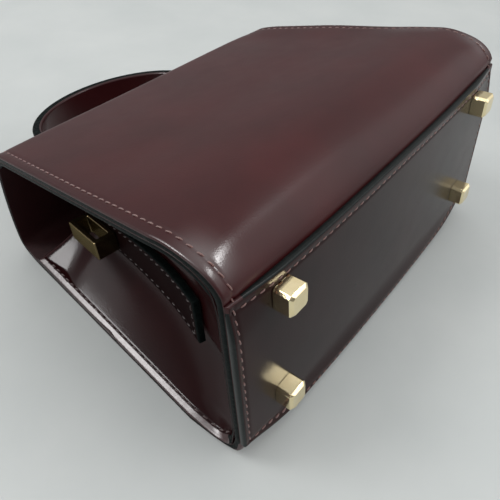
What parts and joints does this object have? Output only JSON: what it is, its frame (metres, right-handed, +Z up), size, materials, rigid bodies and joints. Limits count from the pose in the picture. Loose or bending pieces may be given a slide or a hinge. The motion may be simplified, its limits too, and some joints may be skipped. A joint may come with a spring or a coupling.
{
  "type": "top-handle handbag",
  "caption": "Small structured leather handbag with a front flap, folded side walls, an arched top handle, strap loops and metal base feet, lying on its front.",
  "frame": {"origin": "middle of the bounding box's footprint, on the surface the bag lies on", "axes": "+X along the bag's width, +Y from the base towards the handle, +Z up, out of the bag's back"},
  "size_m": [0.2, 0.2238, 0.0963],
  "materials": {
    "leather": "glossy smooth calf with a fine grain",
    "edged_leather": "glossy smooth calf with dark painted edges",
    "gold_metal": "polished pale gold plating"
  },
  "bodies": {
    "root": {"back_panel": "leather", "front_panel": "leather", "base_panel": "leather", "gusset_left": "leather", "gusset_right": "leather", "handle": "edged_leather", "gusset_tab_left": "edged_leather", "gusset_tab_right": "edged_leather", "strap_loop_left": "gold_metal", "strap_loop_right": "gold_metal", "foot_1": "gold_metal", "foot_2": "gold_metal", "foot_3": "gold_metal", "foot_4": "gold_metal", "closure_disc": "gold_metal"}
  },
  "joints": []
}
